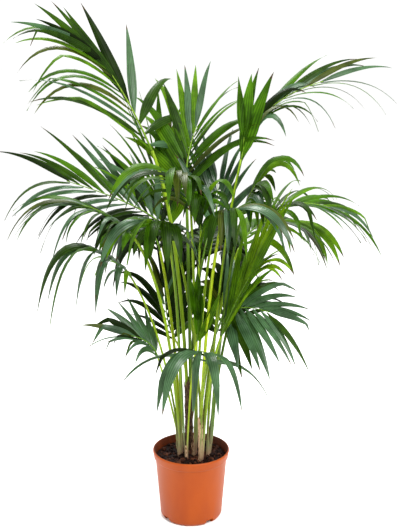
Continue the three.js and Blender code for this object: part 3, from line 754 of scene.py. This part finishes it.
# Leaflets deep inside the plant and low down are darkened: painted shade. A few of each frond take the
# bluish kind, whose colour partly paints the sky's sheen, and a few the olive kind
def toneOf(frond, pair, hand, root):
    if chance(frond["seed"], pair + 5, hand + 8, 14) < frond["bluish"]:
        return kindPlaces["bluishSheenKentiaLeaf"]
    if chance(frond["seed"], pair + 6, hand + 9, 15) < frond["olive"]:
        return kindPlaces["oliveKentiaLeaf"]
    dealt = frond["tone"] + leaflet["toneVaries"] * (chance(frond["seed"], pair + 3, hand + 5, 9) - 0.5)
    # Painted shade: leaflets near the axis and below the crown step down to darker kinds
    inside = 1 - smooth(math.hypot(root.x, root.y) / (leaflet["shadedReach"] * mm))
    low = smooth((leaflet["shadedBelow"] - root.z / mm) / leaflet["shadedFades"])
    dealt -= leaflet["shadedBy"] * inside * low
    return min(int(clamp(dealt) * tones), tones - 1)


def growFrond(bm, frond):
    curve = arcs(frond)[1]
    for hand, side in ((-1, "left"), (1, "right")):
        own = {**frond, **frond[side]}
        pairs = own["pairs"]
        if pairs > leaflet["fewPairs"]:
            pairs = round(pairs * leaflet["finer"])
        for pair in range(pairs):
            grid = growLeaflet(bm, own, curve, pairs, pair, hand)
            paint(grid, toneOf(own, pair, hand, grid[0].co))
            if chance(own["seed"], pair + 9, hand + 3, 12) < leaflet["dryShare"]:
                paint(grid[-leaflet["dryRows"] * (leaflet["columns"] + 1):], kindPlaces["dryKentiaTip"])


leafPieces = {
    "leafletsCrown": ["upper_left", "upper_right", "young_right", "top_middle", "back_upper"],
    "leafletsLeft": ["long_left", "arched_left", "drooping_left", "lower_left", "hanging_left"],
    "leafletsRight": ["arched_right", "long_right", "bright_right", "lower_right", "hanging_right"],
    "leafletsFront": ["front_left", "young_front", "lower_front", "upright_middle", "young_low"],
    "leafletsBack": ["back_left", "back_right", "back_middle", "back_low_right", "back_low_left"],
}


def makeLeaflets():
    materials = [kentiaLeaf(*kind) for kind in leafKinds]
    byName = {frond["name"]: frond for frond in fronds}
    for name, members in leafPieces.items():
        bm = bmesh.new()
        bm.loops.layers.uv.new("UVMap")
        for member in members:
            growFrond(bm, byName[member])
        bmesh.ops.remove_doubles(bm, verts=bm.verts, dist=0.001 * mm)
        makePiece(name, bm, materials, ["frond_" + member for member in members])


makeLeaflets()
print("leaflets grown")


# Stalks run down their bundle into the soil: tan and papery at the foot, then grey-green, then yellow-green
limb = {
    "ribKnee": 3.4, "ribTip": 1.1, "stalkSteps": 22, "ribSteps": 16, "stalkSides": 12, "ribSides": 8,
    "footSteps": 8, "footRing": 0.5, "soilRadius": 4.3, "middleSwell": 1.12, "sunk": 8, "trunkSunk": 24,
}
skin = {
    "line": 3, "lineStretch": 0.03, "lineHeight": 0.4, "blotch": 0.22, "roughness": 0.42, "gloss": 0.18,
    "tall": 420, "ribFrom": 600, "ribTall": 800,
}
stalkSkins = {
    "youngStalkSkin": [
        (0.0, "#b08a70"), (0.07, "#b09c72"), (0.16, "#94a048"),
        (0.32, "#9cb01c"), (1.0, "#a8c01c"),
    ],
    "matureStalkSkin": [
        (0.0, "#a9806a"), (0.1, "#a0906a"), (0.2, "#848f4c"),
        (0.34, "#809a24"), (1.0, "#8cac20"),
    ],
    "shadedStalkSkin": [
        (0.0, "#8c6c58"), (0.1, "#847c58"), (0.22, "#687c48"),
        (0.38, "#5c7c26"), (1.0, "#587a1c"),
    ],
}
ribSteps = [(0.0, "#5f8a26"), (1.0, "#7d9e2c")]


# Living skin is waxy, with a soft shine, fine lengthwise lines and a colour that changes with its height
def greenSkin(name, steps, low, tall):
    material, tree = newMaterial(name)
    place = addNode(tree, "TexCoord")
    height = addNode(tree, "SeparateXYZ", links={"Vector": place.outputs["Object"]})
    lines = addNode(
        tree, "TexNoise", {"Scale": 1 / (skin["line"] * mm), "Detail": 3.0},
        stretched(tree, (1, 1, skin["lineStretch"])),
    )
    risen = addNode(
        tree, "MapRange", {"From Min": low * mm, "From Max": (low + tall) * mm},
        {"Value": height.outputs["Z"]},
    )
    patchy = addNode(
        tree, "Math", {"operation": "MULTIPLY_ADD", 1: skin["blotch"], 2: -skin["blotch"] / 2},
        {0: lines.outputs["Fac"]},
    )
    graded = addNode(
        tree, "Math", {"operation": "ADD"},
        {0: risen.outputs["Result"], 1: patchy.outputs["Value"]},
    )
    tint = colourSteps(tree, graded.outputs["Value"], steps)
    streaks = colourSteps(tree, lines.outputs["Fac"], [(0.34, "#a8a8a8"), (0.62, "#ffffff")])
    streaked = addNode(
        tree, "Mix", {"data_type": "RGBA", "blend_type": "MULTIPLY", 0: 0.8},
        {6: tint.outputs["Color"], 7: streaks.outputs["Color"]},
    )
    relief = addNode(
        tree, "Bump", {"Strength": 0.3, "Distance": skin["lineHeight"] * mm},
        {"Height": lines.outputs["Fac"]},
    )
    shader = addNode(
        tree, "BsdfPrincipled",
        {"Roughness": skin["roughness"], "IOR": 1.45, "Specular IOR Level": skin["gloss"]},
        {"Base Color": streaked.outputs[2], "Normal": relief.outputs["Normal"]},
    )
    addNode(tree, "OutputMaterial", links={"Surface": shader.outputs["BSDF"]})
    return material


def stemCentre(name, share):
    spot = stems[name]
    x, y = spot["place"]
    lean = 1 - stem["lean"] * (1 - share)
    return Vector((x * lean, y * lean, soil["top"] + spot["tall"] * share))


# A stalk comes up through its stem's bundle, apart from those that leave the trunk's top
def stalkPlaces(frond, curve):
    places = []
    foot = curve[0]
    outward = foot - stemCentre(frond["stem"], 1)
    outward.z = 0
    _, side, above = across(curve, 0)
    if frond["stem"] == "back":
        places.append(((foot - up * limb["trunkSunk"]) * mm, side, above, stalk["footRadius"] * mm))
    else:
        for share in shares(limb["footSteps"])[:-1]:
            centre = stemCentre(frond["stem"], share) + outward * lerp(limb["footRing"], 1, share)
            if share == 0:
                centre -= up * limb["sunk"]
            radius = lerp(limb["soilRadius"], stalk["footRadius"], share) * frond["stout"]
            places.append((centre * mm, side, above, radius * mm))
    for share in shares(limb["stalkSteps"]):
        _, side, above = across(curve, share)
        radius = lerp(stalk["footRadius"], stalk["kneeRadius"], share) * frond["stout"]
        radius *= lerp(1, limb["middleSwell"], math.sin(math.pi * share))
        places.append((curvePoint(curve, share) * mm, side, above, radius * mm))
    return places


def ribPlaces(frond, curve):
    places = []
    for share in shares(limb["ribSteps"]):
        _, side, above = rolledAcross(frond, curve, share)
        radius = lerp(limb["ribKnee"], limb["ribTip"], share)
        places.append((curvePoint(curve, share) * mm, side, above, radius * mm))
    return places


def makeLimbs():
    stalks, ribs = bmesh.new(), bmesh.new()
    for frond in fronds:
        stalkCurve, ribCurve = arcs(frond)
        kind = min(int(len(stalkSkins) * chance(frond["seed"], 16)), len(stalkSkins) - 1)
        growLimb(stalks, stalkPlaces(frond, stalkCurve), limb["stalkSides"], kind)
        growLimb(ribs, ribPlaces(frond, ribCurve), limb["ribSides"])
    for bm in (stalks, ribs):
        bmesh.ops.recalc_face_normals(bm, faces=bm.faces)
    names = [frond["name"] for frond in fronds]
    skins = [greenSkin(name, steps, soil["top"], skin["tall"]) for name, steps in stalkSkins.items()]
    ribSkin = greenSkin("greenRibSkin", ribSteps, skin["ribFrom"], skin["ribTall"])
    makePiece("frondStalks", stalks, skins, ["stalk_" + name for name in names])
    makePiece("frondRibs", ribs, [ribSkin], ["frond_" + name for name in names])


makeLimbs()
print("stalks and ribs grown")


# Papery sheaths wrap the bundles, torn ragged at the top, round a core of old leaf bases
sheath = {
    "coreRadius": 4.6, "coreRows": 14, "coreSides": 20, "coreTaper": 0.5, "sharpAngle": 60,
    "columns": 20, "rows": 14, "wallThick": 0.6, "inset": 2.2, "footWidth": 0.82, "flare": 2.5,
    "ragged": 26, "tears": 5, "loose": 1.1, "creases": 9, "creaseLength": 70,
    # Each wrap's stem, the turn of its middle, the degrees it goes around, its height and its skin
    "wraps": [
        ("left", 255, 110, 52, 1),
        ("left", 150, 90, 76, 1),
        ("middle", 255, 76, 46, 0),
        ("front", 208, 96, 150, 0),
        ("front", 90, 120, 60, 0),
        ("right", 260, 100, 60, 1),
        ("right", 60, 120, 84, 0),
        ("back_right", 100, 150, 110, 0),
        ("back_right", 290, 110, 70, 1),
    ],
    "dark": "#846244", "light": "#d4b490", "fleck": "#6a4429", "fibre": 4, "speck": 7,
    "skinSteps": [(0.0, "#b89478"), (0.03, "#b09474"), (0.1, "#989a6c"), (0.2, "#84904e"), (1.0, "#84904e")],
}


# Dry leaf bases are matt, with coarse lengthwise fibres and dark flecks
def fibrousSheath(name, look):
    material, tree = newMaterial(name)
    fibres = addNode(
        tree, "TexNoise", {"Scale": 1 / (look["fibre"] * mm), "Detail": 5.0, "Roughness": 0.65},
        stretched(tree, (1, 1, 0.06)),
    )
    specks = addNode(
        tree, "TexNoise", {"Scale": 1 / (look["speck"] * mm), "Detail": 4.0, "Roughness": 0.7},
        stretched(tree, (1, 1, 0.5)),
    )
    tint = colourSteps(tree, fibres.outputs["Fac"], [(0.32, look["dark"]), (0.66, look["light"])])
    where = colourSteps(tree, specks.outputs["Fac"], [(0.5, "#000000"), (0.58, "#ffffff")])
    flecked = addNode(
        tree, "Mix", {"data_type": "RGBA", 7: fromHex(look["fleck"])},
        {0: where.outputs["Color"], 6: tint.outputs["Color"]},
    )
    relief = addNode(
        tree, "Bump", {"Strength": 0.6, "Distance": 0.8 * mm}, {"Height": fibres.outputs["Fac"]}
    )
    shader = addNode(
        tree, "BsdfPrincipled", {"Roughness": 0.72, "IOR": 1.45, "Specular IOR Level": 0.3},
        {"Base Color": flecked.outputs[2], "Normal": relief.outputs["Normal"]},
    )
    addNode(tree, "OutputMaterial", links={"Surface": shader.outputs["BSDF"]})
    return material


# The places of a round limb up a stem's middle, from just below the soil
def roundPlaces(name, radii):
    places = []
    for share, radius in zip(shares(len(radii) - 1), radii):
        centre = stemCentre(name, share)
        if share == 0:
            centre -= up * limb["sunk"]
        places.append((centre * mm, Vector((1, 0, 0)), Vector((0, 1, 0)), radius * mm))
    return places


# A wrap is a grid bent round its bundle, with a torn upper edge, thickened into a shell.
# Its key picks its own part of the noise.
def growWrap(bm, wrap, key):
    name, heading, around, tallest, kind = wrap
    columns, rows = sheath["columns"], sheath["rows"]
    grid = bmesh.ops.create_grid(bm, x_segments=columns, y_segments=rows, size=1)["verts"]
    outer = topRadius(name) - sheath["inset"]
    for column, part in enumerate(shares(columns)):
        turn = math.radians(heading + around * (part - 0.5))
        away = Vector((math.cos(turn), math.sin(turn), 0))
        torn = noise.noise(Vector((part * sheath["tears"], key * 3.7, 1))) + 0.5 * abs(2 * part - 1)
        tall = tallest - max(sheath["ragged"] * torn, 0)
        for row, risen in enumerate(shares(rows)):
            height = lerp(-limb["sunk"], tall, risen)
            share = clamp(height / stems[name]["tall"])
            centre = stemCentre(name, share)
            centre.z = soil["top"] + height
            folds = Vector((part * sheath["creases"], key * 1.3, height / sheath["creaseLength"]))
            reach = outer * lerp(sheath["footWidth"], 1, share) + noise.noise(folds) * sheath["loose"]
            reach += sheath["flare"] * risen ** 3
            grid[row * (columns + 1) + column].co = centre * mm + away * reach * mm
    faces = list(dict.fromkeys(face for vert in grid for face in vert.link_faces))
    made = bmesh.ops.solidify(bm, geom=faces, thickness=sheath["wallThick"] * mm)["geom"]
    for item in faces + made:
        if isinstance(item, bmesh.types.BMFace):
            item.material_index = kind


def makeSheaths():
    members = [name for name in stems if name != "back"]
    bm = bmesh.new()
    for name in members:
        full = sheath["coreRadius"] * (topRadius(name) / stem["topRadius"])
        radii = [full * (1 - sheath["coreTaper"] * share ** 4) for share in shares(sheath["coreRows"])]
        growLimb(bm, roundPlaces(name, radii), sheath["coreSides"])
    for key, wrap in enumerate(sheath["wraps"]):
        growWrap(bm, wrap, key + 1)
    bmesh.ops.recalc_face_normals(bm, faces=bm.faces)
    skins = [
        fibrousSheath("paperyLeafSheath", sheath),
        greenSkin("greenLeafSheath", sheath["skinSteps"], soil["top"], skin["tall"]),
    ]
    names = ["stem_" + name for name in members]
    makePiece("stemSheaths", bm, skins, names, sharpAngle=sheath["sharpAngle"])


# The trunk is dark and fibrous, with the collars of fallen fronds and loose strips of fibre
trunk = {
    "rows": 60, "columns": 40, "inset": 1.5, "flareHeight": 0.25, "topFrom": 0.94, "topTaper": 0.35,
    "collars": 7, "collarRise": 1.5, "collarAt": 0.12, "collarWidth": 0.08,
    "ridge": 1.4, "ridgeWidth": 2.2, "ridgeLength": 26,
    "strips": 26, "stripSteps": 6, "stripSides": 6, "stripRadii": (0.9, 0.35), "stripFeet": (0.02, 0.8),
    "stripLengths": (0.1, 0.24), "stripClear": 0.6, "stripLoose": 1.6, "stripTurn": 0.03, "seed": 12,
    "dark": "#1c130d", "light": "#4c3422", "fleck": "#65492f", "fibre": 2.4, "speck": 7,
}


def trunkRadius(share):
    foot, top = stems["back"]["footRadius"], stems["back"]["topRadius"]
    radius = lerp(foot, top, smooth(share / trunk["flareHeight"])) - trunk["inset"]
    collar = (share * trunk["collars"]) % 1
    radius += trunk["collarRise"] * math.exp(-((collar - trunk["collarAt"]) / trunk["collarWidth"]) ** 2)
    return radius * (1 - trunk["topTaper"] * smooth((share - trunk["topFrom"]) / (1 - trunk["topFrom"])))


# Strips of fibre hang on to the trunk at their feet and stand off a little at their tops
def addStrips(bm):
    deal = random.Random(trunk["seed"])
    steps = trunk["stripSteps"]
    for _ in range(trunk["strips"]):
        turn = deal.random() * 2 * math.pi
        foot = deal.uniform(*trunk["stripFeet"])
        length = deal.uniform(*trunk["stripLengths"])
        places = []
        for i in range(steps + 1):
            share = clamp(foot + length * i / steps)
            reach = trunkRadius(share) + trunk["stripClear"]
            reach += trunk["stripLoose"] * (i / steps) ** 2 * deal.uniform(0.6, 1)
            heading = turn + i * trunk["stripTurn"]
            away = Vector((math.cos(heading), math.sin(heading), 0))
            centre = stemCentre("back", share) + away * reach
            radius = lerp(*trunk["stripRadii"], i / steps)
            places.append((centre * mm, Vector((-away.y, away.x, 0)), away, radius * mm))
        growLimb(bm, places, trunk["stripSides"])


def makeTrunk():
    bm = bmesh.new()
    axis = Vector((*stems["back"]["place"], 0)) * mm
    wide, long = trunk["ridgeWidth"] * mm, trunk["ridgeLength"] * mm
    radii = [trunkRadius(share) for share in shares(trunk["rows"])]
    for ring in growLimb(bm, roundPlaces("back", radii), trunk["columns"]):
        for vert in ring:
            ridge = noise.noise(Vector((vert.co.x / wide, vert.co.y / wide, vert.co.z / long)))
            outward = Vector((vert.co.x, vert.co.y, 0)) - axis
            vert.co += outward.normalized() * (ridge * trunk["ridge"] * mm)
    addStrips(bm)
    bmesh.ops.recalc_face_normals(bm, faces=bm.faces)
    makePiece("fibrousTrunk", bm, [fibrousSheath("darkTrunkFibre", trunk)], ["stem_back"])


makeSheaths()
makeTrunk()
print("stems made")


# A pale floor under soft studio light
studio = {
    "floorSize": 200000, "floorSides": 96, "floor": "#f6f6f5", "floorRoughness": 0.8,
    "sky": "#ffffff", "skyStrength": 1.1,
    "lights": [
        {"name": "key", "place": (1400, -2200, 3400), "aim": (0, 0, 800), "size": 1200, "power": 170},
        {"name": "top", "place": (-600, 1400, 3400), "aim": (0, 0, 900), "size": 1200, "power": 130},
    ],
}


def addLight(lamp):
    data = bpy.data.lights.new(lamp["name"], "AREA")
    data.size = lamp["size"] * mm
    data.energy = lamp["power"]
    light = bpy.data.objects.new(lamp["name"], data)
    light.location = Vector(lamp["place"]) * mm
    light.rotation_euler = (Vector(lamp["aim"]) - Vector(lamp["place"])).to_track_quat("-Z", "Y").to_euler()
    scene.collection.objects.link(light)


# Painted board: even and nearly white, without a highlight
def makeFloor():
    bm = bmesh.new()
    radius = studio["floorSize"] * mm / 2
    bmesh.ops.create_circle(bm, cap_ends=True, segments=studio["floorSides"], radius=radius)
    mesh = bpy.data.meshes.new("floor")
    bm.to_mesh(mesh)
    bm.free()
    floor = bpy.data.objects.new("floor", mesh)
    scene.collection.objects.link(floor)
    material, tree = newMaterial("paintedBoard")
    shader = addNode(
        tree, "BsdfPrincipled",
        {"Base Color": fromHex(studio["floor"]), "Roughness": studio["floorRoughness"]},
    )
    addNode(tree, "OutputMaterial", links={"Surface": shader.outputs["BSDF"]})
    mesh.materials.append(material)


def makeSky():
    world = bpy.data.worlds.new("studio")
    world.use_nodes = True
    world.node_tree.nodes.clear()
    sky = addNode(
        world.node_tree, "Background",
        {"Color": fromHex(studio["sky"]), "Strength": studio["skyStrength"]},
    )
    addNode(world.node_tree, "OutputWorld", links={"Surface": sky.outputs["Background"]})
    scene.world = world
    scene.view_settings.view_transform = "Standard"


makeFloor()
for lamp in studio["lights"]:
    addLight(lamp)
makeSky()
print("studio lit")
